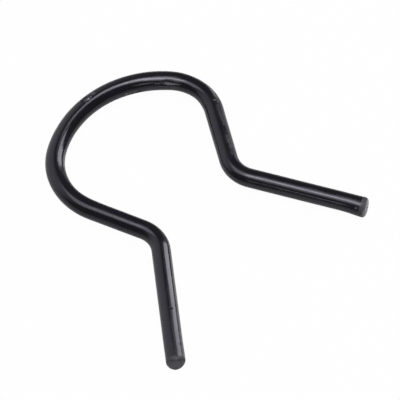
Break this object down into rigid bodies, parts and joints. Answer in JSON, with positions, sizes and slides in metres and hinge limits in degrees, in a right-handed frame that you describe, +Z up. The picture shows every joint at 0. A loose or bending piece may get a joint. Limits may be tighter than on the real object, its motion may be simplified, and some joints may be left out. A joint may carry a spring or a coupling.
{
  "type": "pivot retaining clip",
  "caption": "Keyhole-shaped spring clip of round black wire: a shallow crown, rounded shoulders, converging arms, a narrow neck and splayed straight legs, one longer than the other.",
  "frame": {"origin": "on the middle line, half the loop's clear width below the inside of the crown, on the plane that the clip lies on", "axes": "+Z up from that plane, +Y towards the crown, -Y towards the mouth and the legs, +X towards the shorter leg"},
  "size_m": [0.0462, 0.0508, 0.0032],
  "materials": {
    "coated_wire": "semi-gloss black coating over bent spring wire"
  },
  "bodies": {
    "root": {"retaining_clip": "coated_wire"}
  },
  "joints": []
}
